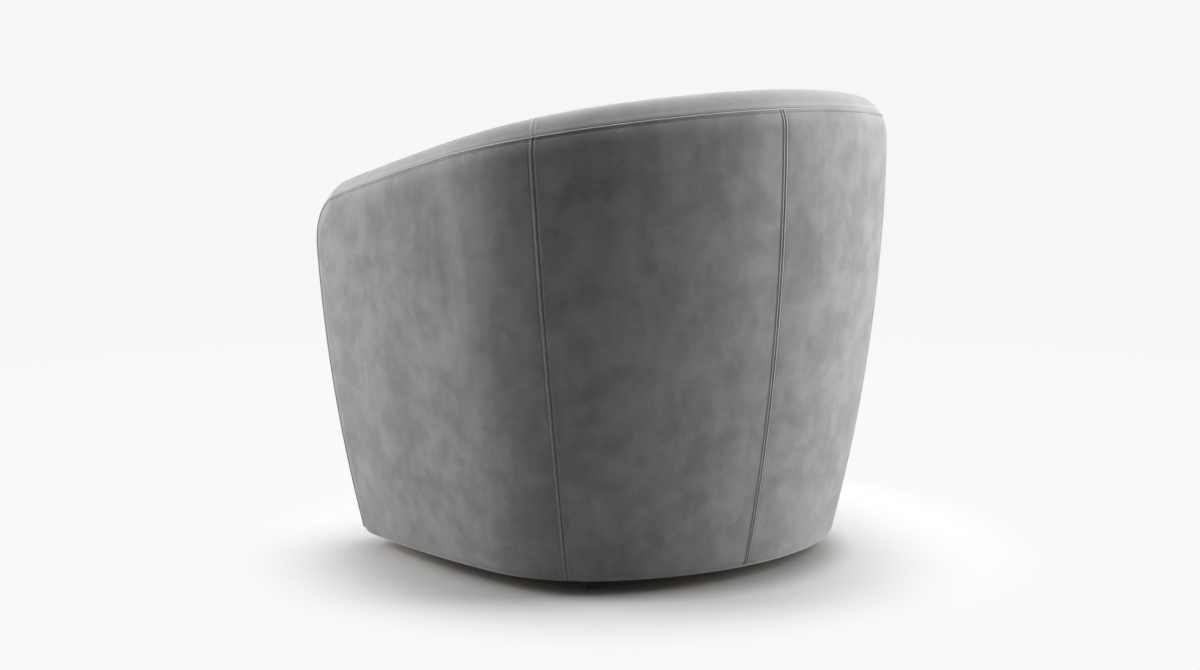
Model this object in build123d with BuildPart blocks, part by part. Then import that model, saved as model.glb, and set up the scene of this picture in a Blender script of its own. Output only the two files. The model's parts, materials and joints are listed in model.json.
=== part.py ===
from build123d import *
from math import cos, radians, sin, sqrt
import os

# Upholstered tub chair, millimetres. +Z is up, the seat faces -Y, and the sitter's left is +X.
# The origin is on the floor, under the middle of the chair's outline.

# Plan of the shell: a back arc, two corner arcs and two long arm arcs, tangent to each other
back_y = 340.0
back_radius = 500.0
back_angle = 28.0
corner_radius = 280.0
corner_angle = 54.0
arm_radius = 1480.0
arm_angle = 17.0

# Side view of the shell: upright front, rounded top corner and a top line that climbs to the back
arm_front_y = -299.0
front_lean = 14.0
crest_back = 716.0
crest_arm = 569.0
back_slope = 0.245
top_corner_radius = 108.0
top_corner_turn = 75.0
rim_radius = 50.0
seam_drop = 22.5

# Section of the shell: the outside leans in towards the floor on one large circle
floor_gap = 20.0
wide_z = 633.0
outside_lean = 74.0
wall_top = 105.0
wall_growth = 75.0
section_top = 770.0

# Layers of the shell, counted from the leather inwards
leather = 3.0
fit_gap = 0.2
lining_thickness = 4.0
inside_foam = 38.0
webbing_thickness = 2.0
roll_depth = 50.0
rail_depth = 24.0
post_top = 455.0
rib_thickness = 18.0
rib_places = {"back": 120.0, "corner": 370.0, "arm": 630.0}

# Side seams: the outside joint between arm and back moves forward as it climbs
seam_heading_low = 47.0
seam_heading_high = 53.9

# Base board, seat platform and bowed front
board_thickness = 18.0
board_opening = (280.0, 240.0)
deck_z = 291.0
front_radius = 375.0
front_reach = 338.0
front_half_turn = 50.0
front_foam = 20.0
front_board = 20.0
front_flap = 45.0
ring_thickness = 32.0
ring_width = 48.0
seat_gap = 1.5
seat_post_size = 40.0
seat_post_depth = 212.0
seat_post_heading = 45.0
seat_post_front_y = -105.0
deck_thickness = 3.0
deck_setback = 6.0
underlay_depth = 170.0
underlay_thickness = 0.8

# Zigzag seat springs and their clips
spring_count = 5
spring_spacing = 76.0
spring_wire = 3.2
spring_half_width = 28.0
spring_pitch = 25.0
clip_size = (16.0, 10.0)
clip_plate = 1.2
clip_share_front = 0.75
clip_share_rear = 0.5

# Loose seat cushion: gap to the wall, height of its sides and of the crown above them
cushion_gap = 3.0
cushion_side = 118.0
cushion_crown = 30.0
cushion_waist = 5.0
cushion_corner = 26.0
cushion_overhang = 2.0
# Its rounded edges: heights from the bottom, heights from the top of its sides and shares of the crown,
# each with how far the cushion is drawn in there
cushion_low_edge = ((0.0, 14.0), (8.0, 4.0), (22.0, 0.0))
cushion_high_edge = ((-22.0, 0.0), (-6.0, 3.0))
cushion_dome = ((0.2, 14.0), (0.53, 36.0), (0.8, 66.0), (1.0, 104.0))

# Glides and screws
glide_diameter = 34.0
glide_foot = 30.0
glide_places = ((195.0, 160.0), (240.0, -205.0))
glide_bore = 10.5
glide_bore_depth = 8.0
screw_diameter = 5.0
screw_head = 9.5
screw_head_height = 3.5
screw_clearance = 0.1
glide_screw_length = 26.0
frame_screw_length = 45.0
frame_bore_depth = 4.0

# How far from exact a direction may be and still count as level across
tolerance = 1e-6

os.makedirs("parts", exist_ok=True)

lean_radius = ((wide_z - floor_gap) ** 2 + outside_lean**2) / (2 * outside_lean)
side_length = 2 * (back_radius + corner_radius)
board_top = floor_gap + board_thickness
layer_bottom = board_top + fit_gap
layer_trim = roll_depth + fit_gap
lining_trim = 1.3 * rim_radius + fit_gap
board_arm_end = arm_front_y + front_lean + layer_trim
padding_front = leather + fit_gap
lining_back = padding_front + lining_thickness
core_out = lining_back + fit_gap
foam_back = padding_front + inside_foam
webbing_front = foam_back + fit_gap
webbing_back = webbing_front + webbing_thickness
core_in = webbing_back + fit_gap
ring_top = deck_z - leather - fit_gap
ring_bottom = ring_top - ring_thickness
deck_bottom = ring_top + spring_wire + clip_plate + 2 * fit_gap
front_centre_y = front_radius - front_reach
front_rail_face = padding_front + front_foam + fit_gap
sides = ((1, "left"), (-1, "right"))


def outside(z):
    # depth of the outer face inside the widest line of the plan
    return lean_radius - sqrt(lean_radius**2 - (wide_z - z) ** 2)


def inside(z):
    # depth of the inner face inside the widest line of the plan
    return wall_top + wall_growth * (section_top - z) / (section_top - floor_gap)


def plan_half(depth):
    # half of the plan, from the middle of the back to the left arm, set in by a depth
    back = JernArc((0, back_y - depth), (1, 0), back_radius - depth, -back_angle)
    corner = JernArc(back @ 1, back % 1, corner_radius - depth, -corner_angle)
    return JernArc(corner @ 1, corner % 1, arm_radius - depth, -arm_angle)


def heading_point(heading, depth, z=0.0):
    # point on the left corner arc, by the direction that the outer face looks there
    start, turn = radians(back_angle), radians(heading)
    x = back_radius * sin(start) + corner_radius * (sin(turn) - sin(start))
    y = back_y - back_radius * (1 - cos(start)) + corner_radius * (cos(turn) - cos(start))
    return Vector(x - depth * sin(turn), y - depth * cos(turn), z)


def arm_point(y, depth, z=0.0):
    # point beside the left arm, at a place along it
    centre = heading_point(back_angle + corner_angle, arm_radius)
    return Vector(centre.X + sqrt((arm_radius - depth) ** 2 - (y - centre.Y) ** 2), y, z)


def path_plane(distance):
    # plane across the wall at a distance along its path from the middle of the back, Y towards the sitter
    share = 0.5 + distance / wall_path.length
    return Plane(origin=wall_path @ share, x_dir=(0, 0, 1), z_dir=wall_path % share)


with BuildLine() as plan_line:
    plan_half(0)
    mirror(about=Plane.YZ)
wall_path = plan_line.wires()[0]
section_plane = Plane(
    origin=wall_path @ 0,
    x_dir=Vector(0, 0, 1).cross(wall_path % 0),
    z_dir=wall_path % 0,
)


def outer_edge(depth):
    # outer edge of a wall section, as a function of where its bottom is
    def draw(bottom):
        heights = (bottom, (bottom + section_top) / 2, section_top)
        return ThreePointArc(*[(-outside(z) - depth, z) for z in heights])

    return draw


def inner_edge(depth):
    # inner edge of a wall section, as a function of where its bottom is
    def draw(bottom):
        return Line((-inside(bottom) + depth, bottom), (-inside(section_top) + depth, section_top))

    return draw


def side_profile(skin):
    # outline of the shell seen from the side, set in by a skin
    front = arm_front_y + skin
    end_y = back_y + rim_radius
    end_z = crest_back - skin + back_slope * rim_radius
    corner_z = crest_arm - top_corner_radius
    with BuildSketch(Plane.YZ.offset(-side_length / 2)) as side:
        with BuildLine():
            upright = TangentArc((front, corner_z), (front + front_lean, floor_gap), tangent=(0, -1))
            corner = JernArc((front, corner_z), (0, 1), top_corner_radius - skin, -top_corner_turn)
            third = (end_y - (corner @ 1).X) / 3
            climb = (corner % 1).Y / (corner % 1).X
            crest = Bezier(
                corner @ 1,
                (corner @ 1) + Vector(third, climb * third),
                (end_y - third, end_z - back_slope * third),
                (end_y, end_z),
            )
            Polyline(upright @ 1, (end_y, floor_gap), crest @ 1)
        make_face()
    return side.sketch


def side_block(skin):
    # solid as wide as the chair whose outline is the side view set in by a skin
    outline = side_profile(skin)
    with BuildPart() as block:
        extrude(outline, amount=side_length)
    return block.part


def swept_wall(outer, inner, bottom, trim):
    # U-shaped wall between two section edges, trimmed by the side view set in by a skin
    block = side_block(trim)
    with BuildPart() as wall:
        with BuildSketch(section_plane):
            with BuildLine():
                first = outer(bottom)
                second = inner(bottom)
                Line(first @ 0, second @ 0)
                Line(first @ 1, second @ 1)
            make_face()
        sweep(path=wall_path)
        add(block, mode=Mode.INTERSECT)
    return wall.part


def shell_form(skin):
    # the whole soft shell with its rounded rim, set in by a skin
    wall = swept_wall(outer_edge(skin), inner_edge(skin), floor_gap, skin)
    with BuildPart() as form:
        add(wall)
        level = [face for face in form.faces() if abs(face.normal_at(face.center()).X) < tolerance]
        top = ShapeList(level).sort_by(Axis.Z)[1:]
        edges = [edge for face in top for edge in face.edges()]
        middles = [edge @ 0.5 for edge in edges]
        rim = [
            edge
            for edge, middle in zip(edges, middles)
            if middle.Z > board_top and sum((middle - m).length < fit_gap for m in middles) == 1
        ]
        fillet(rim, rim_radius - skin)
    return form.part


def seam_plane(side):
    # plane of the joint between arm and back, with the arm in front of it
    low = heading_point(seam_heading_low, outside(floor_gap), floor_gap)
    high = heading_point(seam_heading_high, outside(wide_z), wide_z)
    turn = radians((seam_heading_low + seam_heading_high) / 2)
    inward = Vector(-sin(turn), -cos(turn), 0)
    normal = (high - low).cross(inward)
    return Plane(
        origin=(side * low.X, low.Y, low.Z),
        x_dir=(side * inward.X, inward.Y, 0),
        z_dir=(side * normal.X, normal.Y, normal.Z),
    )


def half_of(side):
    # which half of a solid to keep at the middle plane
    return Keep.TOP if side > 0 else Keep.BOTTOM


def save(builder, name):
    # labels a finished piece and writes it
    builder.part.label = name
    export_step(builder.part, f"parts/{name}.step")


def save_thirds(form, back_name, arm_name):
    # cuts a U-shaped form at the two side seams into a back piece and two arm pieces
    with BuildPart() as back_piece:
        add(form)
        split(bisect_by=seam_plane(1), keep=Keep.BOTTOM)
        split(bisect_by=seam_plane(-1), keep=Keep.BOTTOM)
    save(back_piece, back_name)
    for side, word in sides:
        with BuildPart() as arm_piece:
            add(form)
            split(bisect_by=Plane.YZ, keep=half_of(side))
            split(bisect_by=seam_plane(side), keep=Keep.TOP)
        save(arm_piece, f"{arm_name}_{word}")


# Shell forms: the outer skin, the space under the leather and what lies inside the band's two seams
skin_form = shell_form(0)
under_leather = shell_form(leather)
padding_form = shell_form(padding_front)
clear_form = shell_form(-fit_gap)
panel_block = side_block(seam_drop)
roll_block = side_block(roll_depth)

# Leather: outside panels, inside panels and the band along the top and down the arm fronts
with BuildPart() as leather_shell:
    add(skin_form)
    add(under_leather, mode=Mode.SUBTRACT)

with BuildPart() as panels:
    add(leather_shell.part)
    add(panel_block, mode=Mode.INTERSECT)
outside_leather, inside_leather = panels.solids().sort_by(SortBy.AREA, reverse=True)

with BuildPart() as outside_back:
    add(outside_leather)
    split(bisect_by=seam_plane(1), keep=Keep.BOTTOM)
    split(bisect_by=seam_plane(-1), keep=Keep.BOTTOM)
for side, word in sides:
    with BuildPart() as outside_arm_cover:
        add(outside_leather)
        split(bisect_by=Plane.YZ, keep=half_of(side))
        split(bisect_by=seam_plane(side), keep=Keep.TOP)
    save(outside_arm_cover, f"outside_arm_cover_{word}")
    with BuildPart() as outside_back_cover:
        add(outside_back.part)
        split(bisect_by=Plane.YZ, keep=half_of(side))
    save(outside_back_cover, f"outside_back_cover_{word}")

with BuildPart() as inside_skin:
    add(inside_leather)
    with Locations((0, board_arm_end - fit_gap, layer_bottom)):
        Box(
            side_length,
            side_length,
            side_length,
            align=(Align.CENTER, Align.MIN, Align.MAX),
            mode=Mode.SUBTRACT,
        )
save_thirds(inside_skin.part, "inside_back_cover", "inside_arm_cover")

with BuildPart() as band:
    add(leather_shell.part)
    add(panel_block, mode=Mode.SUBTRACT)
save_thirds(band.part, "back_band", "arm_band")

# Padding roll under the band
with BuildPart() as roll:
    add(padding_form)
    add(roll_block, mode=Mode.SUBTRACT)
save_thirds(roll.part, "back_roll_padding", "arm_roll_padding")

# Foam behind the inside panels, and the webbing that carries it
foam = swept_wall(inner_edge(foam_back), inner_edge(padding_front), layer_bottom, layer_trim)
save_thirds(foam, "inside_back_foam", "inside_arm_foam")

webbing = swept_wall(inner_edge(webbing_back), inner_edge(webbing_front), layer_bottom, layer_trim)
with BuildPart() as inner_webbing:
    add(webbing)
save(inner_webbing, "inner_webbing")

# Stiff lining behind the outside panels
lining = swept_wall(outer_edge(padding_front), outer_edge(lining_back), floor_gap, lining_trim)
with BuildPart() as outer_lining:
    add(lining)
save(outer_lining, "outer_lining")

# Screws from below hold the ribs, arm posts and seat posts to the base board
core_middle = (outside(board_top) + core_out + inside(board_top) - core_in) / 2
rib_planes = {
    f"{place}_rib_{word}": path_plane(side * distance)
    for place, distance in rib_places.items()
    for side, word in sides
}
arm_post_y = arm_front_y + front_lean + layer_trim + rail_depth / 2
seat_post_rear = heading_point(seat_post_heading, seat_post_depth)
seat_post_front = arm_point(seat_post_front_y, seat_post_depth)
seat_posts = {
    f"seat_post_{end}_{word}": (side * place.X, place.Y)
    for end, place in (("rear", seat_post_rear), ("front", seat_post_front))
    for side, word in sides
}
arm_posts = {f"arm_post_{word}": (side, arm_point(arm_post_y, core_middle)) for side, word in sides}
frame_screw_places = [(side * at.X, at.Y) for side, at in arm_posts.values()]
frame_screw_places += list(seat_posts.values())
for rib_plane in rib_planes.values():
    foot = rib_plane.origin + rib_plane.y_dir * core_middle
    frame_screw_places.append((foot.X, foot.Y))
glide_spots = [(side * x, y) for x, y in glide_places for side, word in sides]


def bore_frame_screws():
    # screw holes up into whatever stands on the base board
    with Locations(*[(x, y, board_top) for x, y in frame_screw_places]):
        Cylinder(
            screw_diameter / 2 + screw_clearance,
            frame_screw_length + frame_bore_depth - board_thickness + fit_gap,
            align=(Align.CENTER, Align.CENTER, Align.MIN),
            mode=Mode.SUBTRACT,
        )


# Plywood frame in the wall: top rail, posts behind the arm fronts, and ribs
rim_wall = swept_wall(outer_edge(core_out), inner_edge(core_in), board_top, layer_trim)
rail_block = side_block(layer_trim + rail_depth)
with BuildPart() as rim_frame:
    add(rim_wall)
    add(rail_block, mode=Mode.SUBTRACT)

with BuildPart() as top_rail:
    add(rim_frame.part)
    split(bisect_by=Plane.XY.offset(post_top), keep=Keep.TOP)
save(top_rail, "top_rail")

for side, word in sides:
    with BuildPart() as arm_post:
        add(rim_frame.part)
        split(bisect_by=Plane.XY.offset(post_top), keep=Keep.BOTTOM)
        split(bisect_by=Plane.YZ, keep=half_of(side))
        bore_frame_screws()
    save(arm_post, f"arm_post_{word}")

core = swept_wall(outer_edge(core_out), inner_edge(core_in), board_top, layer_trim + rail_depth)
for name, rib_plane in rib_planes.items():
    with BuildPart() as rib:
        add(core)
        with BuildSketch(rib_plane.offset(-rib_thickness / 2)):
            Rectangle(2 * section_top, 2 * inside(floor_gap))
        extrude(amount=rib_thickness, mode=Mode.INTERSECT)
        bore_frame_screws()
    save(rib, name)


def seat_outline(depth, radius, z, corner=0.0):
    # plan of the seat: the wall's plan set in by a depth, with a front that bows on a radius
    with BuildSketch(Plane.XY.offset(z)) as outline:
        with BuildLine():
            arm = plan_half(depth)
            mirror(about=Plane.YZ)
            Line(arm @ 1, (-(arm @ 1).X, (arm @ 1).Y))
        make_face()
        with Locations((0, front_centre_y)):
            Circle(radius, mode=Mode.INTERSECT)
        if corner:
            fillet(outline.vertices().sort_by(Axis.Y)[:2], corner)
    return outline.sketch


def front_wall(near, far, bottom, top):
    # strip of the bowed front between two depths behind its face, fitted between the arms
    start = radians(front_half_turn)
    radial = Vector(-sin(start), -cos(start), 0)
    plane = Plane(origin=(0, front_centre_y, 0), x_dir=radial, z_dir=radial.cross(Vector(0, 0, 1)))

    def face_line(depth):
        reach = front_radius - depth + outside(deck_z)
        return ThreePointArc(*[(reach - outside(z), z) for z in (bottom, (bottom + top) / 2, top)])

    with BuildPart() as strip:
        with BuildSketch(plane):
            with BuildLine():
                first = face_line(near)
                second = face_line(far)
                Line(first @ 0, second @ 0)
                Line(first @ 1, second @ 1)
            make_face()
        revolve(axis=Axis((0, front_centre_y, 0), (0, 0, 1)), revolution_arc=2 * front_half_turn)
        add(clear_form, mode=Mode.SUBTRACT)
    return strip.part


# Bowed front under the seat: leather with a flap over the platform, padding and a curved board
cover_face = front_wall(0, leather, floor_gap, deck_z)
cover_flap = front_wall(0, front_flap, deck_z - leather, deck_z)
with BuildPart() as front_cover:
    add(cover_face)
    add(cover_flap)
save(front_cover, "front_cover")

padding_strip = front_wall(padding_front, padding_front + front_foam, floor_gap, ring_top)
with BuildPart() as front_padding:
    add(padding_strip)
save(front_padding, "front_padding")

board_strip = front_wall(front_rail_face, front_rail_face + front_board, board_top, ring_bottom)
with BuildPart() as front_rail:
    add(board_strip)
save(front_rail, "front_rail")

# Base board under the walls and the seat, open in the middle
board_depth = outside(floor_gap) + core_out
board_inner = inside(board_top) - 2 * fit_gap
board_front_radius = front_radius - (outside(floor_gap) - outside(deck_z)) - front_rail_face
board_outer_plan = seat_outline(board_depth, 2 * front_radius, floor_gap)
board_inner_plan = seat_outline(board_inner, 2 * front_radius, floor_gap)
board_seat_plan = seat_outline(board_inner, board_front_radius, floor_gap)
with BuildSketch(Plane.XY.offset(floor_gap)) as board_sketch:
    add(board_outer_plan)
    with Locations((0, board_arm_end)):
        Rectangle(side_length, side_length, align=(Align.CENTER, Align.MAX), mode=Mode.SUBTRACT)
    add(board_inner_plan, mode=Mode.SUBTRACT)
    add(board_seat_plan)
    RectangleRounded(*board_opening, ring_width, mode=Mode.SUBTRACT)
with BuildPart() as base_board:
    extrude(board_sketch.sketch, amount=board_thickness)
    with Locations(*[(x, y, floor_gap) for x, y in frame_screw_places]):
        Cylinder(
            screw_head / 2 + screw_clearance,
            frame_bore_depth,
            align=(Align.CENTER, Align.CENTER, Align.MIN),
            mode=Mode.SUBTRACT,
        )
    with Locations(*[(x, y, floor_gap) for x, y in frame_screw_places + glide_spots]):
        Cylinder(
            screw_diameter / 2 + screw_clearance,
            board_thickness,
            align=(Align.CENTER, Align.CENTER, Align.MIN),
            mode=Mode.SUBTRACT,
        )
save(base_board, "base_board")

# Seat platform: a ring on four posts, zigzag springs across it, clips and a deck cloth
ring_depth = inside(ring_bottom) + seat_gap
ring_radius = front_radius - front_rail_face - (outside(ring_bottom) - outside(deck_z))
ring_outline = seat_outline(ring_depth, ring_radius, ring_bottom)
ring_opening = seat_outline(ring_depth + ring_width, ring_radius - ring_width, ring_bottom)
with BuildPart() as seat_ring:
    extrude(ring_outline, amount=ring_thickness)
    extrude(ring_opening, amount=ring_thickness, mode=Mode.SUBTRACT)
save(seat_ring, "seat_ring")

for name, (x, y) in seat_posts.items():
    with BuildPart() as seat_post:
        with BuildSketch(Plane((x, y, board_top))):
            Rectangle(seat_post_size, seat_post_size)
        extrude(amount=ring_bottom - board_top)
        bore_frame_screws()
    save(seat_post, name)

spring_z = ring_top + spring_wire / 2
clip_places = []
for number in range(spring_count):
    spring_x = (number - (spring_count - 1) / 2) * spring_spacing
    front_bar = front_centre_y - sqrt((ring_radius - clip_share_front * ring_width) ** 2 - spring_x**2)
    rear_reach = back_radius - ring_depth - clip_share_rear * ring_width
    rear_bar = back_y - back_radius + sqrt(rear_reach**2 - spring_x**2)
    turns = round((rear_bar - front_bar) / spring_pitch)
    pitch = (rear_bar - front_bar) / turns
    corners = []
    for turn in range(turns + 1):
        swing = spring_half_width if turn % 2 else -spring_half_width
        corners.append((spring_x + swing, front_bar + turn * pitch, spring_z))
        corners.append((spring_x - swing, front_bar + turn * pitch, spring_z))
    with BuildPart() as seat_spring:
        with BuildLine() as zigzag:
            FilletPolyline(*corners, radius=pitch / 2 - fit_gap)
        with BuildSketch(Plane(origin=zigzag.line @ 0, z_dir=zigzag.line % 0)):
            Circle(spring_wire / 2)
        sweep(path=zigzag.wires()[0])
    save(seat_spring, f"seat_spring_{number + 1}")
    clip_places += [(spring_x, front_bar, ring_top), (spring_x, rear_bar, ring_top)]

clip_slot = spring_wire + fit_gap
with BuildPart() as spring_clips:
    with Locations(*clip_places):
        Box(*clip_size, clip_slot + clip_plate, align=(Align.CENTER, Align.CENTER, Align.MIN))
        Box(
            clip_size[0],
            clip_slot + fit_gap,
            clip_slot,
            align=(Align.CENTER, Align.CENTER, Align.MIN),
            mode=Mode.SUBTRACT,
        )
save(spring_clips, "spring_clips")

deck_outline = seat_outline(inside(deck_bottom) + seat_gap, front_radius - deck_setback, deck_bottom)
with BuildPart() as deck_cloth:
    extrude(deck_outline, amount=deck_thickness)
save(deck_cloth, "deck_cloth")

underlay_radius = board_front_radius - ring_width
underlay_outline = seat_outline(underlay_depth, underlay_radius, floor_gap - underlay_thickness)
with BuildPart() as dust_cover:
    extrude(underlay_outline, amount=underlay_thickness)
save(dust_cover, "dust_cover")

# Loose cushion: drawn in at the waist of its sides, crowned on top, flat underneath
cushion_bottom = deck_bottom + deck_thickness + fit_gap
cushion_levels = [*cushion_low_edge, (cushion_side / 2, cushion_waist)]
cushion_levels += [(cushion_side + height, drawn) for height, drawn in cushion_high_edge]
cushion_levels += [(cushion_side + share * cushion_crown, drawn) for share, drawn in cushion_dome]
cushion_sections = [
    seat_outline(
        inside(cushion_bottom + height) + cushion_gap + drawn,
        front_radius + cushion_overhang - drawn,
        cushion_bottom + height,
        cushion_corner,
    )
    for height, drawn in cushion_levels
]
with BuildPart() as seat_cushion:
    loft(cushion_sections[::-1])
save(seat_cushion, "seat_cushion")

# Four low glides under the base board, each held by a screw in its bore
for (x, y), end in zip(glide_places, ("rear", "front")):
    for side, word in sides:
        with BuildPart() as glide:
            with Locations((side * x, y, 0)):
                Cone(
                    glide_foot / 2,
                    glide_diameter / 2,
                    floor_gap,
                    align=(Align.CENTER, Align.CENTER, Align.MIN),
                )
                Cylinder(
                    glide_bore / 2,
                    glide_bore_depth,
                    align=(Align.CENTER, Align.CENTER, Align.MIN),
                    mode=Mode.SUBTRACT,
                )
                Cylinder(
                    screw_diameter / 2 + screw_clearance,
                    floor_gap,
                    align=(Align.CENTER, Align.CENTER, Align.MIN),
                    mode=Mode.SUBTRACT,
                )
        save(glide, f"glide_{end}_{word}")


def save_screws(places, seat_z, length, name):
    # group of round-headed screws driven upwards, with their heads seated at a height
    with BuildPart() as screws:
        with Locations(*[(x, y, seat_z) for x, y in places]):
            Cylinder(
                screw_head / 2,
                screw_head_height,
                align=(Align.CENTER, Align.CENTER, Align.MAX),
            )
            Cylinder(screw_diameter / 2, length, align=(Align.CENTER, Align.CENTER, Align.MIN))
    save(screws, name)


save_screws(glide_spots, glide_bore_depth, glide_screw_length, "glide_screws")
save_screws(frame_screw_places, floor_gap + frame_bore_depth, frame_screw_length, "frame_screws")
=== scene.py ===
import json
import math
import bmesh
import bpy
import numpy as np
from mathutils import Matrix, Vector


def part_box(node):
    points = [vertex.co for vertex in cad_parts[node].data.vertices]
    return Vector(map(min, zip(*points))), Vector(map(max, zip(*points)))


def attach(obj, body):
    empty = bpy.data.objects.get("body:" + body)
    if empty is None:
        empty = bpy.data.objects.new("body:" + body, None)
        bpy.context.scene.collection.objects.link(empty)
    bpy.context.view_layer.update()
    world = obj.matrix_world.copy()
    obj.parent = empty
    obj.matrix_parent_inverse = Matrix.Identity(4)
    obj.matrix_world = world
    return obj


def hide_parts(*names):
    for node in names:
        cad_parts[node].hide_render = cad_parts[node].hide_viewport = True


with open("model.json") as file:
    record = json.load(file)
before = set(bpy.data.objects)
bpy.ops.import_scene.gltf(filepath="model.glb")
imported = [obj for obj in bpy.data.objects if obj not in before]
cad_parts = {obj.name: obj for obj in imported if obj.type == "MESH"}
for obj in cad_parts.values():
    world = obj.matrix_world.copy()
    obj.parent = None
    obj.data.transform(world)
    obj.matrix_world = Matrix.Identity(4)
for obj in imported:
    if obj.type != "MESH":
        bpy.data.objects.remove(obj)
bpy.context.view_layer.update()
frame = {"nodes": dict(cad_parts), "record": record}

mm = 0.001

# the wall of the chair in metres and degrees: plan arcs, lean, crest and rim
shell = dict(
    backY=0.340, backRadius=0.500, backTurn=28.0,
    cornerRadius=0.280, cornerTurn=54.0, armRadius=1.480,
    floorGap=0.020, wideZ=0.633, lean=0.074,
    thick=0.105, growth=0.075, sectionTop=0.770, sectionTall=0.750,
    frontY=-0.299, frontLean=0.014, armTop=0.569, noseRadius=0.108, noseTurn=75.0,
    backTop=0.716, backSlope=0.245, rim=0.050, seamDrop=0.0225,
    seamLow=47.0, seamHigh=53.9, deckZ=0.291,
)
# heights that a search for a seam or crest starts from, and the rounds that settle it
search = dict(backZ=0.65, armZ=0.60, jointZ=0.63, lineZ=0.62, rounds=6, crestRounds=8, noseRounds=4)
# numbers that start each piece's waves
seeds = dict(outsideBack=11, outsideArm=21, insideBack=31, insideArm=41, armBand=51, backBand=57, front=61)

rimRadius = shell["rim"]
seamDrop = shell["seamDrop"]
noseRadius = shell["noseRadius"]
backHeading = math.radians(shell["backTurn"])
armHeading = backHeading + math.radians(shell["cornerTurn"])
backEnd = shell["backRadius"] * backHeading
cornerEnd = backEnd + shell["cornerRadius"] * (armHeading - backHeading)
backCentre = (0.0, shell["backY"] - shell["backRadius"])
cornerCentre = (
    (shell["backRadius"] - shell["cornerRadius"]) * math.sin(backHeading),
    backCentre[1] + (shell["backRadius"] - shell["cornerRadius"]) * math.cos(backHeading),
)
armCentre = (
    cornerCentre[0] + (shell["cornerRadius"] - shell["armRadius"]) * math.sin(armHeading),
    cornerCentre[1] + (shell["cornerRadius"] - shell["armRadius"]) * math.cos(armHeading),
)
tall = shell["wideZ"] - shell["floorGap"]
leanRadius = (tall ** 2 + shell["lean"] ** 2) / (2 * shell["lean"])
noseY = shell["frontY"] + noseRadius
noseZ = shell["armTop"] - noseRadius
noseTurn = math.radians(shell["noseTurn"])
frontTall = noseZ - shell["floorGap"]
frontRadius = (frontTall ** 2 + shell["frontLean"] ** 2) / (2 * shell["frontLean"])
crestStart = (noseY - noseRadius * math.cos(noseTurn), noseZ + noseRadius * math.sin(noseTurn))
crestEnd = (shell["backY"] + rimRadius, shell["backTop"] + shell["backSlope"] * rimRadius)


# how far the outer face stands inside its widest line: a circle's drop
def outside(z):
    return leanRadius - np.sqrt(leanRadius ** 2 - (shell["wideZ"] - z) ** 2)


# how far the inner face stands inside that line: a straight taper
def inside(z):
    return shell["thick"] + shell["growth"] * (shell["sectionTop"] - z) / shell["sectionTall"]


# depth of a face of the wall: the outer one where face is 1, the inner one where it is -1
def faceDepth(z, face):
    return outside(z) if face > 0 else inside(z)


# depth of the middle of the rim's roll: one rim radius in from that face
def rollDepth(z, face):
    return faceDepth(z, face) + face * rimRadius


# the way the wall looks, by the distance along it from the middle of the back: turn adds up arc by arc
def headingAt(s):
    a = np.abs(s)
    onCorner = backHeading + (a - backEnd) / shell["cornerRadius"]
    onArm = armHeading + (a - cornerEnd) / shell["armRadius"]
    return np.where(a < backEnd, a / shell["backRadius"], np.where(a < cornerEnd, onCorner, onArm))


# a point of the plan: centre of its arc plus the arc's radius, less the depth, along the heading
def wallPoint(s, depth):
    a = np.abs(s)
    heading = headingAt(s)
    picks = [a < backEnd, a < cornerEnd]
    radius = np.select(picks, [shell["backRadius"], shell["cornerRadius"]], shell["armRadius"])
    centreX = np.select(picks, [backCentre[0], cornerCentre[0]], armCentre[0])
    centreY = np.select(picks, [backCentre[1], cornerCentre[1]], armCentre[1])
    x = centreX + (radius - depth) * np.sin(heading)
    y = centreY + (radius - depth) * np.cos(heading)
    return np.where(s < 0, -x, x), y


# distance along the wall where it reaches a y at a depth: the arc cosine on its circle
def pathAt(y, depth):
    onArm = np.arccos(np.clip((y - armCentre[1]) / (shell["armRadius"] - depth), -1, 1))
    onCorner = np.arccos(np.clip((y - cornerCentre[1]) / (shell["cornerRadius"] - depth), -1, 1))
    corner = backEnd + shell["cornerRadius"] * (np.clip(onCorner, backHeading, armHeading) - backHeading)
    return np.where(onArm > armHeading, cornerEnd + shell["armRadius"] * (onArm - armHeading), corner)


# height and slope of the crest: a cubic with its four handles a third of the way apart
def crest(y):
    span = crestEnd[0] - crestStart[0]
    t = (y - crestStart[0]) / span
    second = crestStart[1] + span / 3 / math.tan(noseTurn)
    third = crestEnd[1] - shell["backSlope"] * span / 3
    z = ((1 - t) ** 3 * crestStart[1] + 3 * (1 - t) ** 2 * t * second
         + 3 * (1 - t) * t ** 2 * third + t ** 3 * crestEnd[1])
    slope = 3 * ((1 - t) ** 2 * (second - crestStart[1]) + 2 * (1 - t) * t * (third - second)
                 + t ** 2 * (crestEnd[1] - third)) / span
    return z, slope


# front edge of the arm: upright at the top, leaning back on a circle below
def frontLine(z):
    drop = np.clip(noseZ - z, 0, None)
    return shell["frontY"] + frontRadius - np.sqrt(frontRadius ** 2 - drop ** 2)


# how far the rounded rim draws the face in, by distance from its crown: a circle's drop, turned by a tilt
def rimInset(h, tilt):
    turn = np.maximum(0, tilt + np.arcsin(np.clip(1 - h / rimRadius, -1, 1)))
    return rimRadius * (1 - np.cos(turn))


# tilt of the rim: how far the outline's face, given by its share of y, leans from square to the wall's
def tiltAt(s, toBack, face):
    return np.arcsin(-face * np.cos(headingAt(s)) * toBack)


# place of the seam between arm and back panels: its heading grows with height
def seamAt(z):
    share = (z - shell["floorGap"]) / tall
    heading = np.radians(shell["seamLow"] + (shell["seamHigh"] - shell["seamLow"]) * share)
    return backEnd + shell["cornerRadius"] * (heading - backHeading)


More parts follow.
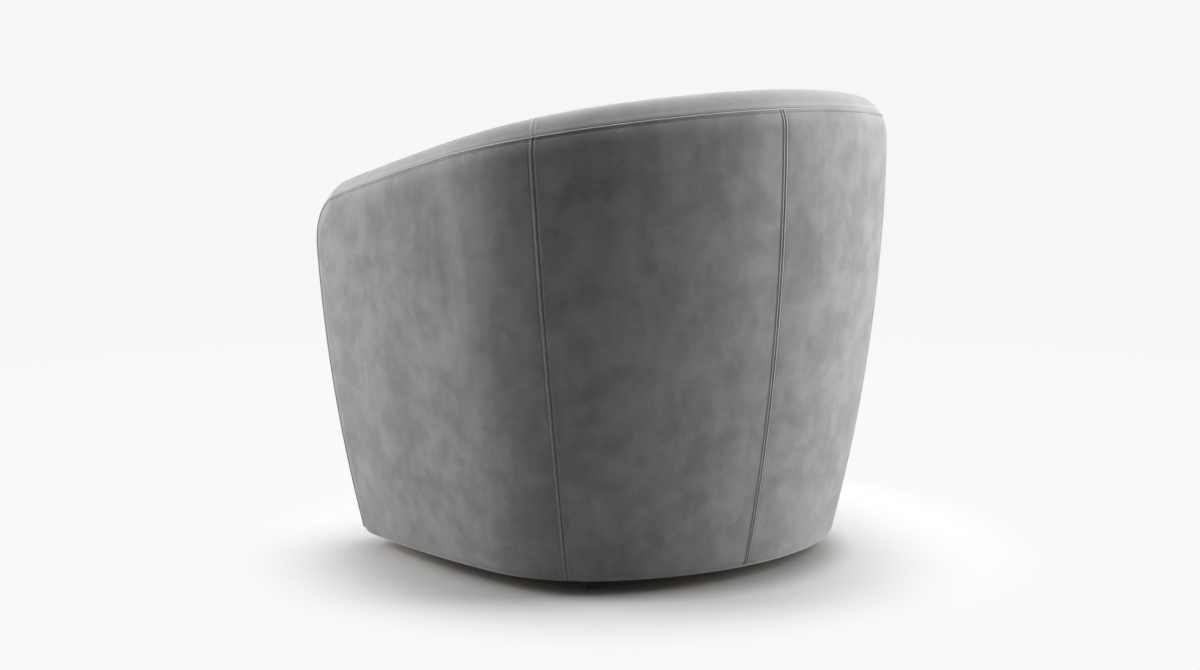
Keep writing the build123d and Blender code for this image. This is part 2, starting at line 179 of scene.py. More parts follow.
# ways the wall and the crest look: the outer rim is kept from leaning inwards, so that its roll stays full
def rimWays(s, slope, face):
    heading = headingAt(s)
    sideways = np.where(s < 0, -1, 1) * np.sin(heading)
    wallWay = face * np.stack([sideways, np.cos(heading), 0 * heading], axis=-1)
    crestWay = np.stack([0 * slope, -slope, 1 + 0 * slope], axis=-1) / np.sqrt(1 + slope ** 2)[..., None]
    lean = np.sum(wallWay * crestWay, axis=-1, keepdims=True)
    extra = np.minimum(lean, 0) if face > 0 else 0 * lean
    return wallWay, (crestWay - extra * wallWay) / np.sqrt(1 - extra ** 2), np.arcsin(extra - lean)[..., 0]


# height of the seam under the band: the crest over the rim's roll less the drop, square to the slope
def bandSeam(s, z, face):
    ridge, slope = crest(wallPoint(s, rollDepth(z, face))[1])
    _, crestWay, tilt = rimWays(s, slope, face)
    stretch = 1 / crestWay[..., 2]
    fall = (rimRadius - rimInset(seamDrop, tilt)) * np.sin(tilt)
    return ridge + (fall - seamDrop) * stretch, stretch, tilt


waveLook = dict(count=12, lengths=(0.6, 1.9), turn=6.28)


# soft waves about one unit high: sines with seeded directions, lengths and phases
def ripples(a, b, seed, size):
    draw = np.random.default_rng(seed)
    count, full = waveLook["count"], waveLook["turn"]
    turns = draw.uniform(0, full, count)
    lengths = draw.uniform(*waveLook["lengths"], count)
    phases = draw.uniform(0, full, count)
    total = np.zeros(np.broadcast(a, b).shape)
    for turn, length, phase in zip(turns, lengths, phases):
        total += np.sin(full * (a * math.cos(turn) + b * math.sin(turn)) / (size * length) + phase)
    return total / math.sqrt(count)


# bulge of a stuffed panel: nothing at its edge, full at the reach, with a smooth step between
def stuffed(e, reach):
    t = np.clip(e / reach, 0, 1)
    return t * t * (3 - 2 * t)


# columns packed close at both edges: share of the way across and an offset for each
def packed(near, count, middle):
    fine = np.linspace(0, near, count)
    share = np.linspace(0, 1, middle + 2)[1:-1]
    toEnd = np.concatenate([0 * fine, share, 0 * fine + 1])
    offset = np.concatenate([fine, near * (1 - 2 * share), -fine[::-1]])
    return toEnd, offset


# packed columns set between two ends: the share of the way plus the offset
def across(start, end, columns):
    return start + (end - start) * columns[0] + columns[1]


# quads between the neighbours of a grid of point numbers; a ring's last column meets its first
def quadsOf(index, ring=False):
    if ring:
        index = np.concatenate([index, index[:, :1]], axis=1)
    corners = index[:-1, :-1], index[1:, :-1], index[1:, 1:], index[:-1, 1:]
    return np.stack(corners, axis=-1).reshape(-1, 4)


# new object in the scene
def newObject(name, data):
    piece = bpy.data.objects.new(name, data)
    bpy.context.scene.collection.objects.link(piece)
    return piece


# mesh from a grid of points: a quad between each four neighbours
def surface(name, points, flip=False, ring=False, edge=None):
    quads = quadsOf(np.arange(points[..., 0].size).reshape(points.shape[:2]), ring)
    if flip:
        quads = quads[:, ::-1]
    return meshFrom(name, points.reshape(-1, 3), quads, edge)


# mesh from vertices and quads, with the highlight painted along its sewn edges kept as an attribute
def meshFrom(name, vertices, quads, edge=None):
    mesh = bpy.data.meshes.new(name)
    mesh.vertices.add(len(vertices))
    mesh.vertices.foreach_set("co", np.asarray(vertices, np.float32).ravel())
    mesh.loops.add(quads.size)
    mesh.loops.foreach_set("vertex_index", np.ascontiguousarray(quads, np.int32).ravel())
    mesh.polygons.add(len(quads))
    mesh.polygons.foreach_set("loop_start", np.arange(0, quads.size, quads.shape[1], dtype=np.int32))
    mesh.update(calc_edges=True)
    mesh.validate()
    mesh.shade_smooth()
    if edge is not None:
        values = mesh.attributes.new("foldHighlight", "FLOAT", "POINT").data
        values.foreach_set("value", np.asarray(edge, np.float32).ravel())
    return newObject(name, mesh)


# gives a piece its finish, a wall's thickness, its slot, the nodes that it stands for and its body
def dress(piece, material, body="chair", nodes=(), thick=0.0):
    piece.data.materials.clear()
    piece.data.materials.append(material)
    if thick:
        wall = piece.modifiers.new("thickness", "SOLIDIFY")
        wall.thickness = thick
        wall.offset = -1
    if nodes:
        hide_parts(*nodes)
    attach(piece, body)


tubeLook = dict(sides=8, steep=0.9)


# tube along a line of points: a circle set square to the line at each of them
def tube(name, path, radius, closed=False):
    ahead = np.roll(path, -1, axis=0) - np.roll(path, 1, axis=0)
    if not closed:
        ahead[0] = path[1] - path[0]
        ahead[-1] = path[-1] - path[-2]
    ahead /= np.linalg.norm(ahead, axis=1, keepdims=True)
    up = np.tile([0.0, 0.0, 1.0], (len(path), 1))
    up[np.abs(ahead[:, 2]) > tubeLook["steep"]] = [0.0, 1.0, 0.0]
    sideways = np.cross(ahead, up)
    sideways /= np.linalg.norm(sideways, axis=1, keepdims=True)
    upright = np.cross(sideways, ahead)
    turn = np.linspace(0, 2 * np.pi, tubeLook["sides"], endpoint=False)
    rims = (path[:, None] + radius * (np.cos(turn)[None, :, None] * sideways[:, None]
                                      + np.sin(turn)[None, :, None] * upright[:, None]))
    if closed:
        rims = np.concatenate([rims, rims[:1]])
    # painted highlight: the whole tube carries the fold highlight mask at full strength, so it is painted
    # lighter all along
    piece = surface(name, rims, ring=True, edge=np.ones(rims.shape[:2]))
    tidyMesh(piece, cap=not closed)
    return piece


# joins doubled points, closes open ends and turns the faces outwards
def tidyMesh(piece, cap=False):
    work = bmesh.new()
    work.from_mesh(piece.data)
    bmesh.ops.remove_doubles(work, verts=work.verts, dist=0.001 * mm)
    if cap:
        bmesh.ops.holes_fill(work, edges=[e for e in work.edges if e.is_boundary], sides=0)
    bmesh.ops.recalc_face_normals(work, faces=work.faces)
    work.to_mesh(piece.data)
    work.free()
    piece.data.shade_smooth()


stitch = dict(pitch=4.6 * mm, length=2.5 * mm, radius=0.6 * mm, sides=6, sink=0.15 * mm,
              rings=(-1.0, -0.82, 0.0, 0.82, 1.0), girth=(0.25, 0.85, 1.0, 0.85, 0.25))


# evenly spaced places along a line and the outward direction there: both read at equal steps of its length
def evenly(path, outward, pitch):
    step = np.linalg.norm(np.diff(path, axis=0), axis=1)
    run = np.concatenate([[0], np.cumsum(step)])
    wanted = np.arange(pitch / 2, run[-1], pitch)
    return [np.stack([np.interp(wanted, run, line[:, k]) for k in range(3)], axis=1)
            for line in (path, outward)]


# one stitch: rings of points along a short capsule, and the quads between them and over its ends
def stitchShape():
    turn = np.linspace(0, 2 * np.pi, stitch["sides"], endpoint=False)
    rings, girth = np.array(stitch["rings"]), np.array(stitch["girth"])
    local = np.stack([
        np.repeat(rings * stitch["length"] / 2, len(turn)),
        np.outer(girth, np.cos(turn)).ravel() * stitch["radius"],
        np.outer(girth, np.sin(turn)).ravel() * stitch["radius"],
    ], axis=1)
    quads = quadsOf(np.arange(len(local)).reshape(len(rings), -1), ring=True)[:, [0, 3, 2, 1]]
    near = np.array([(3, 2, 1, 0), (5, 4, 3, 0)])  # two quads close the six points of an end
    far = len(local) - len(turn) + near[:, ::-1]
    return local, np.concatenate([quads, near, far])


# rows of stitches: one capsule at each place, lying along its line and on the face
def stitchRows(name, lines):
    local, quads = stitchShape()
    points, faces, base = [], [], 0
    for path, outward in lines:
        place, face = evenly(path, outward, stitch["pitch"])
        ahead = np.gradient(place, axis=0)
        ahead /= np.linalg.norm(ahead, axis=1, keepdims=True)
        face -= ahead * np.sum(face * ahead, axis=1, keepdims=True)
        face /= np.linalg.norm(face, axis=1, keepdims=True)
        beside = np.cross(face, ahead)
        seat = place - face * stitch["sink"]
        block = (seat[:, None] + local[None, :, :1] * ahead[:, None] + local[None, :, 1:2] * beside[:, None]
                 + local[None, :, 2:] * face[:, None])
        points.append(block.reshape(-1, 3))
        starts = base + np.arange(len(place)) * len(local)
        faces.append((starts[:, None, None] + quads[None]).reshape(-1, 4))
        base += len(place) * len(local)
    dress(meshFrom(name, np.concatenate(points), np.concatenate(faces)), thread)


# shader nodes and the groups that the finishes share
floatKind, colourKind, vectorKind = "NodeSocketFloat", "NodeSocketColor", "NodeSocketVector"
vectorInput = ("Vector", vectorKind, (0, 0, 0))
black = (0, 0, 0, 1)


# gives a socket its value: a link from another socket, a colour without its alpha, or a number
def feed(tree, socket, value):
    if isinstance(value, bpy.types.NodeSocket):
        tree.links.new(value, socket)
    elif socket.type == "RGBA":
        socket.default_value = (*value, 1.0)
    else:
        socket.default_value = value


# a new node with its settings made and its inputs fed, known by its outputs
def addNode(tree, kind, inputs, **settings):
    node = tree.nodes.new(kind)
    for label, value in settings.items():
        setattr(node, label, value)
    for label, value in inputs.items():
        feed(tree, node.inputs[label], value)
    return node.outputs


# a new group with its named sockets: what it is given and what it has to feed
def newGroup(name, inputs, outputs):
    group = bpy.data.node_groups.new(name, "ShaderNodeTree")
    for label, kind, value in inputs:
        socket = group.interface.new_socket(name=label, in_out="INPUT", socket_type=kind)
        socket.default_value = value
    for label, kind in outputs:
        group.interface.new_socket(name=label, in_out="OUTPUT", socket_type=kind)
    given = group.nodes.new("NodeGroupInput").outputs
    return group, given, group.nodes.new("NodeGroupOutput").inputs


# cloudy noise between 0 and 1
def noise(tree, vector, scale, detail, rough=0.55, distortion=0.0):
    inputs = dict(Vector=vector, Scale=scale, Detail=detail, Roughness=rough, Distortion=distortion)
    return addNode(tree, "ShaderNodeTexNoise", inputs)["Fac"]


# one sum, product or larger value of two values
def maths(tree, operation, first, second):
    return addNode(tree, "ShaderNodeMath", {0: first, 1: second}, operation=operation)[0]


# two noises added up
def twoNoises(tree, vector, first, second):
    return maths(tree, "ADD", noise(tree, vector, *first), noise(tree, vector, *second))


# coordinates multiplied by a scale for each axis
def stretched(tree, vector, scale):
    return addNode(tree, "ShaderNodeMapping", dict(Vector=vector, Scale=scale))["Vector"]


# a value's range set to a new one, with a smooth step between its ends
def remap(tree, value, low, high, newLow=0.0, newHigh=1.0):
    inputs = {"Value": value, "From Min": low, "From Max": high, "To Min": newLow, "To Max": newHigh}
    return addNode(tree, "ShaderNodeMapRange", inputs, interpolation_type="SMOOTHSTEP")["Result"]


# two colours mixed by a factor: the mix node's colour inputs are 6 and 7, its colour output 2
def blendColour(tree, factor, first, second):
    return addNode(tree, "ShaderNodeMix", {0: factor, 6: first, 7: second}, data_type="RGBA")[2]


# two shaders mixed by a factor
def blendShader(tree, factor, first, second):
    return addNode(tree, "ShaderNodeMixShader", {0: factor, 1: first, 2: second})[0]


# noises by scale, detail, roughness and distortion, the ranges read from them and their shares
napLook = dict(patch=(9.0, 5.0, 0.6, 0.6), spot=(26.0, 4.0, 0.6, 0.4), cloud=(0.72, 1.28), cloudShare=0.78,
               strokes=(60.0, 60.0, 9.0), stroke=(1.0, 3.0, 0.6, 0.3), brush=(0.3, 0.7), brushShare=0.22,
               fine=(1400.0, 2.0), coarse=(420.0, 3.0), highlightStrength=0.55, rough=(0.93, 0.82))


# nap: cloudy patches and upright strokes shift the grey, a highlight is painted on sewn folds and tubes by
# mixing in a lighter grey, a grain lifts it
def makeNap():
    inputs = [vectorInput, ("Edge", floatKind, 0.0)]
    inputs += [(label, colourKind, black) for label in ("Dark", "Light", "Worn")]
    outputs = [("Colour", colourKind), ("Rough", floatKind), ("Grain", floatKind)]
    group, given, result = newGroup("nap", inputs, outputs)
    vector = given["Vector"]
    cloud = remap(group, twoNoises(group, vector, napLook["patch"], napLook["spot"]), *napLook["cloud"])
    brush = noise(group, stretched(group, vector, napLook["strokes"]), *napLook["stroke"])
    brush = remap(group, brush, *napLook["brush"])
    shade = maths(group, "ADD", maths(group, "MULTIPLY", cloud, napLook["cloudShare"]),
                  maths(group, "MULTIPLY", brush, napLook["brushShare"]))
    colour = blendColour(group, shade, given["Dark"], given["Light"])
    # painted highlight: the fold mask mixes the lighter grey into the nap's colour
    highlightStrength = maths(group, "MULTIPLY", given["Edge"], napLook["highlightStrength"])
    feed(group, result["Colour"], blendColour(group, highlightStrength, colour, given["Worn"]))
    feed(group, result["Rough"], remap(group, cloud, 0.0, 1.0, *napLook["rough"]))
    feed(group, result["Grain"], twoNoises(group, vector, napLook["fine"], napLook["coarse"]))
    return group


# how the faces of the finishes are made: noise, threads, ranges of roughness, strength and depth of bumps
faceLook = dict(speckle=(1.0, 5.0, 0.6), spotMix=(0.3, 0.7), spotRough=(0.2, 0.8), spots=0.2, deep=0.4 * mm,
                threads=dict(Distortion=1.2, Detail=1.0), waveScale=0.314, weaveRough=(0.95, 0.8), weave=0.5,
                grain=0.35, grainDeep=0.6 * mm)


# speckle: one noise on coordinates stretched by the finish's own scale
def makeSpeckle():
    inputs = [vectorInput, ("Scale", vectorKind, (1, 1, 1))]
    group, given, result = newGroup("speckle", inputs, [("Spots", floatKind)])
    along = stretched(group, given["Vector"], given["Scale"])
    feed(group, result["Spots"], noise(group, along, *faceLook["speckle"]))
    return group


# weave: two crossed sets of thread waves, the higher of the two at each point
def makeWeave():
    inputs = [vectorInput, ("Scale", floatKind, 1.0)]
    group, given, result = newGroup("weave", inputs, [("Weave", floatKind)])
    threads = dict(faceLook["threads"], Vector=given["Vector"], Scale=given["Scale"])
    waves = [addNode(group, "ShaderNodeTexWave", threads, bands_direction=way)["Fac"] for way in ("X", "Y")]
    feed(group, result["Weave"], maths(group, "MAXIMUM", *waves))
    return group


# a new material: its tree, its shader and the object's coordinates
def newMaterial(name):
    material = bpy.data.materials.new(name)
    material.use_nodes = True
    tree = material.node_tree
    shader = [n for n in tree.nodes if n.type == "BSDF_PRINCIPLED"][0]
    return material, tree, shader, addNode(tree, "ShaderNodeTexCoord", {})["Object"]


# colour, roughness and a bump from a height fed to the shader
def finishFace(tree, shader, colour, rough, height, strength, deep):
    feed(tree, shader.inputs["Base Color"], colour)
    feed(tree, shader.inputs["Roughness"], rough)
    lifted = addNode(tree, "ShaderNodeBump", dict(Height=height, Strength=strength, Distance=deep))
    feed(tree, shader.inputs["Normal"], lifted["Normal"])


napGroup, speckleGroup, weaveGroup = makeNap(), makeSpeckle(), makeWeave()
# greys of the leather: two for the nap, and a lighter third one for the highlight painted on sewn folds and
# tubes
leatherLook = dict(
    Dark=(0.215, 0.215, 0.216), Light=(0.315, 0.315, 0.315), Worn=(0.46, 0.46, 0.458),
)
smoothLook = dict(leatherLook, Dark=(0.235, 0.235, 0.236), Light=(0.275, 0.275, 0.275))
leatherGloss = {"Specular IOR Level": 0.25, "Sheen Weight": 0.40, "Sheen Roughness": 0.40,
                "Sheen Tint": (0.92, 0.92, 0.93)}


# napped leather: the nap in this finish's greys, with a soft sheen
def makeLeather(name, look):
    material, tree, shader, vector = newMaterial(name)
    # mask of the highlight painted along sewn folds and tubes, read from the mesh
    edge = addNode(tree, "ShaderNodeAttribute", {}, attribute_name="foldHighlight")["Fac"]
    nap = addNode(tree, "ShaderNodeGroup", dict(look, Vector=vector, Edge=edge), node_tree=napGroup)
    finishFace(tree, shader, nap["Colour"], nap["Rough"], nap["Grain"],
               faceLook["grain"], faceLook["grainDeep"])
    for label, value in leatherGloss.items():
        feed(tree, shader.inputs[label], value)
    return material


# plain finishes: the speckle mixes two colours and lifts the face a little
def makePlain(name, first, second, scale, rough, metal=0.0):
    material, tree, shader, vector = newMaterial(name)
    inputs = dict(Vector=vector, Scale=scale)
    spots = addNode(tree, "ShaderNodeGroup", inputs, node_tree=speckleGroup)["Spots"]
    colour = blendColour(tree, remap(tree, spots, *faceLook["spotMix"]), first, second)
    finishFace(tree, shader, colour, remap(tree, spots, *faceLook["spotRough"], *rough), spots,
               faceLook["spots"], faceLook["deep"])
    shader.inputs["Metallic"].default_value = metal
    return material


# woven cloth: the weave mixes two colours and lifts the threads, its scale set by their pitch
def makeWoven(name, first, second, pitch):
    material, tree, shader, vector = newMaterial(name)
    inputs = dict(Vector=vector, Scale=faceLook["waveScale"] / pitch)
    weave = addNode(tree, "ShaderNodeGroup", inputs, node_tree=weaveGroup)["Weave"]
    rough = remap(tree, weave, 0.0, 1.0, *faceLook["weaveRough"])
    finishFace(tree, shader, blendColour(tree, weave, first, second), rough, weave,
               faceLook["weave"], faceLook["deep"])
    return material


# finishes by slot: two colours, then scale, roughness and metal, or the pitch of a weave
plainLooks = dict(
    foam=("paleFoam", (0.62, 0.58, 0.45), (0.72, 0.69, 0.58), (300, 300, 300), (0.9, 1.0)),
    plywood=("birchPly", (0.50, 0.36, 0.21), (0.63, 0.48, 0.31), (18, 18, 160), (0.55, 0.75)),
    fibreboard=("hardboard", (0.16, 0.10, 0.06), (0.23, 0.15, 0.09), (220, 220, 220), (0.6, 0.8)),
    spring_steel=("springSteel", (0.30, 0.30, 0.31), (0.42, 0.42, 0.43), (120, 120, 120), (0.3, 0.5), 1.0),
    glide_plastic=("blackNylon", (0.010, 0.010, 0.011), (0.020, 0.020, 0.021), (500, 500, 500), (0.45, 0.6)),
    screw_steel=("zincSteel", (0.45, 0.45, 0.46), (0.60, 0.60, 0.61), (400, 400, 400), (0.25, 0.45), 1.0),
)
wovenLooks = dict(
    webbing=("juteWebbing", (0.20, 0.15, 0.09), (0.36, 0.28, 0.18), 4.0 * mm),
    black_cloth=("blackCloth", (0.008, 0.008, 0.009), (0.028, 0.028, 0.030), 1.6 * mm),
)
leather = makeLeather("greyNubuck", leatherLook)
smoothLeather = makeLeather("greyNubuckSmooth", smoothLook)
thread = makePlain("greyThread", (0.14, 0.14, 0.141), (0.19, 0.19, 0.191), (900, 900, 900), (0.7, 0.85))
finishes = {slot: makePlain(*look) for slot, look in plainLooks.items()}
finishes.update({slot: makeWoven(*look) for slot, look in wovenLooks.items()})
print("finishes made")

# CAD nodes that stay take the finish of their slot
for row in frame["record"]["subparts"]:
    node = frame["nodes"][row["node"]]
    node.data.materials.clear()
    node.data.materials.append(finishes.get(row["material_slot"], leather))

# sewn edges by distance from the edge, and how strongly a highlight is painted on their folds
sideSewing = dict(groove=1.2 * mm, grooveWide=1.0 * mm, fold=0.6 * mm, foldAt=2.4 * mm, foldWide=1.7 * mm,
                  dip=0.4 * mm, stitchAt=6.2 * mm, dipWide=1.1 * mm, highlightStrength=0.6)
middleSewing = dict(groove=0.6 * mm, grooveWide=0.7 * mm, fold=0.9 * mm, foldAt=2.4 * mm, foldWide=1.3 * mm,
                    dip=0.25 * mm, stitchAt=5.0 * mm, dipWide=1.1 * mm, highlightStrength=0.9)
buttSewing = dict(groove=1.7 * mm, grooveWide=1.4 * mm, fold=0.35 * mm, foldAt=3.6 * mm, foldWide=2.0 * mm,
                  dip=0.0, stitchAt=6.0 * mm, dipWide=1.0 * mm, highlightStrength=0.3)
topSewing = dict(groove=0.3 * mm, grooveWide=1.0 * mm, fold=0.6 * mm, foldAt=2.0 * mm, foldWide=1.5 * mm,
                 dip=0.2 * mm, stitchAt=5.6 * mm, dipWide=1.2 * mm, highlightStrength=1.0)
bandSewing = dict(groove=0.12 * mm, grooveWide=1.1 * mm, fold=0.25 * mm, foldAt=4.5 * mm, foldWide=3.0 * mm,
                  dip=0.0, stitchAt=9.0 * mm, dipWide=1.0 * mm, highlightStrength=0.35)
jointSewing = dict(groove=0.9 * mm, grooveWide=1.1 * mm, fold=0.4 * mm, foldAt=3.0 * mm, foldWide=1.7 * mm,
                   dip=0.3 * mm, stitchAt=6.0 * mm, dipWide=1.0 * mm, highlightStrength=0.5)
highlightSpread = 1.2


# a smooth hump: one at its middle, fading with the square of the distance over its width
def hump(e, middle, wide):
    return np.exp(-(((e - middle) / wide) ** 2))


# relief beside sewn edges, added up: a groove on the line, a fold beside it, a dip under the stitches
def sewn(*edges):
    relief = 0.0
    for e, sewing in edges:
        relief = (relief - sewing["groove"] * hump(e, 0.0, sewing["grooveWide"])
                  + sewing["fold"] * hump(e, sewing["foldAt"], sewing["foldWide"])
                  - sewing["dip"] * hump(e, sewing["stitchAt"], sewing["dipWide"]))
    return relief


# painted highlight on the folds at sewn edges, the strongest of them at each point
def paintedHighlight(*edges):
    highlight = 0.0
    for e, sewing in edges:
        highlight = np.maximum(highlight, sewing["highlightStrength"] * hump(e, sewing["foldAt"], highlightSpread * sewing["foldWide"]))
    return highlight


# panels of the wall: their grid, their stuffing and the roll at their hem
panelLook = dict(near=10 * mm, fine=19, columns=70, rows=90, noseColumns=44, bottomZ=0.0215, thick=2.4 * mm,
                 reach=0.09, puff=1.6 * mm, wave=0.5 * mm, waveSize=0.16, hemDrop=2.2 * mm, hemWide=5.0 * mm)
innerLook = dict(bottomZ=0.284, reach=0.12, puff=5.0 * mm, beside=0.45, rise=0.06, wave=0.7 * mm,
                 waveSize=0.14)
flipX = np.array([-1.0, 1.0, 1.0])
sides = (("left", 1), ("right", -1))


# back panel: columns from the middle, or the far seam where whole is 1, to the near one, rows to the band
def backGrid(whole, bottom, face):
    columns = packed(panelLook["near"], panelLook["fine"], (1 + whole) * panelLook["columns"])
    rows = packed(panelLook["near"], panelLook["fine"], panelLook["rows"])
    top = np.full(len(columns[0]), search["backZ"])
    for _ in range(search["rounds"]):
        s = across(-whole * seamAt(top), seamAt(top), columns)
        top, stretch, tilt = bandSeam(s, top, face)
    z = across(bottom, top[:, None], rows).T
    s = across(-whole * seamAt(z), seamAt(z), columns)
    return s, z, (top - z) / stretch, seamAt(z) - np.abs(s), tilt


# arm panel: columns from the side seam to the nose, then round the nose to the front seam
def armGrid(face):
    near = panelLook["near"]
    columns = packed(near, panelLook["fine"], panelLook["columns"])
    keep = len(columns[0]) - panelLook["fine"] + 1
    columns = (columns[0][:keep], columns[1][:keep])
    rows = packed(near, panelLook["fine"], panelLook["rows"])
    small = noseRadius - seamDrop
    startY = noseY - small * math.cos(noseTurn)
    top = np.full(keep, search["armZ"])
    for _ in range(search["rounds"]):
        end = pathAt(startY, faceDepth(top, face))
        s = np.minimum(across(seamAt(top), end + near, columns), end)
        top = bandSeam(s, top, face)[0]
    turn = np.linspace(math.pi / 2 - noseTurn, math.pi / 2, panelLook["noseColumns"])[1:]
    allTop = np.concatenate([top, noseZ + small * np.cos(turn)])
    z = across(panelLook["bottomZ"], allTop[:, None], rows).T
    lean = frontLine(z) - shell["frontY"]
    depth = faceDepth(z, face)
    end = pathAt(startY + lean, depth)[:, :keep]
    crestS = np.minimum(across(seamAt(z[:, :keep]), end + near, columns), end)
    noseS = pathAt(noseY - small * np.sin(turn) + lean[:, keep:], depth[:, keep:])
    s = np.concatenate([crestS, noseS], axis=1)
    y = wallPoint(s, depth)[1]
    ridge, stretch, tilt = bandSeam(s, z, face)
    fromTop = (ridge - z) / stretch
    fromFront = y - frontLine(z) - seamDrop
    away = np.hypot(y - lean - noseY, z - noseZ)
    inNose = (y - lean < noseY) & (z > noseZ)
    onCrest = y - lean >= startY
    edge = np.where(inNose, np.where(onCrest, np.minimum(small - away, fromTop), small - away),
                    np.where(y - lean < noseY, fromFront, np.minimum(fromTop, fromFront)))
    toBack = np.where(inNose, (y - lean - noseY) / np.maximum(away, 0.001 * mm), -1.0)
    tilt = np.where(onCrest, tilt, tiltAt(s, toBack, face))
    return s, z, np.clip(edge, 0, None), s - seamAt(z), tilt


# how far a panel is drawn in at its hem: a hump at the bottom edge
def hemRelief(z):
    return -panelLook["hemDrop"] * hump(z, panelLook["bottomZ"], panelLook["hemWide"])


# swell of an outside panel: drawn in at the hem, stuffed in the middle, with slow waves
def outerSwell(s, z, around, seed):
    wave = panelLook["wave"] * ripples(s, z, seed, panelLook["waveSize"])
    return hemRelief(z) + (panelLook["puff"] + wave) * stuffed(around, panelLook["reach"])


# swell of an inside panel: stuffed from the cushion's top upwards, with slow waves
def innerSwell(s, z, around, seed):
    puff = innerLook["puff"] * stuffed(around, innerLook["reach"])
    wave = innerLook["wave"] * ripples(s, z, seed, innerLook["waveSize"])
    return (puff * stuffed(z - innerLook["beside"], innerLook["rise"])
            + wave * stuffed(around, panelLook["reach"]))


# points of the left side, or their mirror image
def mirrored(points, side):
    return points if side > 0 else points * flipX


# stands a panel on a face of the wall: the face's depth, drawn in at the rim and pushed out by its relief
def makePanel(name, node, grid, relief, highlight, face, side):
    s, z, fromBand, _, tilt = grid
    x, y = wallPoint(s, faceDepth(z, face) + face * (rimInset(seamDrop + fromBand, tilt) - relief))
    points = mirrored(np.stack([x, y, z], axis=-1), side)
    panel = surface(name, points, flip=face * side < 0, edge=highlight)
    dress(panel, leather, nodes=[node], thick=panelLook["thick"])


# panels of one kind, the left one and its mirror, each with its own waves
def makePanels(kind, grid, edges, around, swell, seed, face):
    for word, side in sides:
        relief = sewn(*edges) + swell(*grid[:2], around, seed + side)
        makePanel(f"{kind}_panel_{word}", f"{kind}_cover_{word}", grid, relief, paintedHighlight(*edges), face, side)


grid = backGrid(0, panelLook["bottomZ"], 1)
s, z, fromBand, fromSide, _ = grid
edges = (fromBand, topSewing), (s, middleSewing), (fromSide, buttSewing)
around = np.minimum(np.minimum(fromBand, s), np.minimum(fromSide, z))
makePanels("outside_back", grid, edges, around, outerSwell, seeds["outsideBack"], 1)

grid = armGrid(1)
s, z, fromBand, fromSide, _ = grid
edges = (fromBand, topSewing), (fromSide, sideSewing)
around = np.minimum(fromBand, np.minimum(fromSide, z))
makePanels("outside_arm", grid, edges, around, outerSwell, seeds["outsideArm"], 1)
print("outside panels made")

grid = backGrid(1, innerLook["bottomZ"], -1)
s, z, fromBand, fromSide, _ = grid
edges = (fromBand, topSewing), (fromSide, sideSewing)
relief = sewn(*edges) + innerSwell(s, z, np.minimum(fromBand, fromSide), seeds["insideBack"])
makePanel("inside_back_panel", "inside_back_cover", grid, relief, paintedHighlight(*edges), -1, 1)

grid = armGrid(-1)
s, z, fromBand, fromSide, _ = grid
edges = (fromBand, topSewing), (fromSide, sideSewing)
makePanels("inside_arm", grid, edges, np.minimum(fromBand, fromSide), innerSwell, seeds["insideArm"], -1)
print("inside panels made")

# band over the rim
bandLook = dict(near=12 * mm, fine=17, curve=16, flat=14, uprights=90, nose=46, crest=150, back=230,
                puff=1.2 * mm, puffReach=0.03, wave=0.15 * mm, waveReach=0.02, waveSize=0.12,
                waveAcross=0.15, bottomZ=0.0215)


# half of the band's section: the angle on the rim from the seam to the crown, and the distance from the seam
def bandSection():
    first = math.asin(1 - seamDrop / rimRadius)
    length = rimRadius * (math.pi / 2 - first)
    run = np.concatenate([np.linspace(0, bandLook["near"], bandLook["fine"]),
                          np.linspace(bandLook["near"], length, bandLook["curve"])[1:]])
    return first + run / rimRadius, run


halfAngle, halfEdge = bandSection()
flatShare = np.linspace(0, 1, bandLook["flat"] + 2)[1:-1]
bandEdge = np.concatenate([halfEdge, np.full(bandLook["flat"], halfEdge[-1]), halfEdge[::-1]])
bandAcross = np.concatenate([0 * halfEdge, flatShare, 0 * halfEdge + 1])


# one rounded edge: out from the rim's roll by its radius and relief, turning from the wall to the outline
def roundedEdge(s, z, outlineWay, face, relief):
    x, y = wallPoint(s, rollDepth(z, face))
    wallWay = rimWays(s, 0 * s, face)[0]
    lean = np.sum(wallWay * outlineWay, axis=-1, keepdims=True)
    square = (outlineWay - lean * wallWay) / np.sqrt(1 - lean ** 2)
    turn = np.arcsin(-lean) + halfAngle[None, :, None]
    away = rimRadius + relief[:, :, None]
    return np.stack([x, y, z], axis=-1) + away * (wallWay * np.cos(turn) + square * np.sin(turn))


# rows of the band: the outer edge, the flat of the crown and the inner edge
def bandRows(outer, inner, relief):
    count = len(halfAngle)
    near = roundedEdge(*outer, 1, relief[:, :count])
    far = roundedEdge(*inner, -1, relief[:, :-count - 1:-1])
    span = far[:, -1:] - near[:, -1:]
    lift = relief[:, count:-count] - relief[:, count - 1:count]
    flat = near[:, -1:] + flatShare[None, :, None] * span + lift[:, :, None] * outer[2]
    return np.concatenate([near, flat, far[:, ::-1]], axis=1)


# middle of the roll under the crest at places along the wall: the crest less the rim, square to its slope
def underCrest(s, face):
    z = np.full_like(s, search["armZ"])
    for _ in range(search["crestRounds"]):
        ridge, slope = crest(wallPoint(s, rollDepth(z, face))[1])
        outlineWay = rimWays(s, slope, face)[1]
        z = ridge - rimRadius / outlineWay[..., 2]
    return s, z, outlineWay


# middle of the roll behind the arm's front: at an angle round the nose, or at a height below it
def behindFront(turn, drop, face):
    small = noseRadius - rimRadius
    z = noseZ - drop + small * np.sin(turn)
    y = frontLine(noseZ - drop) + noseRadius - small * np.cos(turn)
    return pathAt(y, rollDepth(z, face)), z, np.stack([0 * turn, -np.cos(turn), np.sin(turn)], axis=-1)


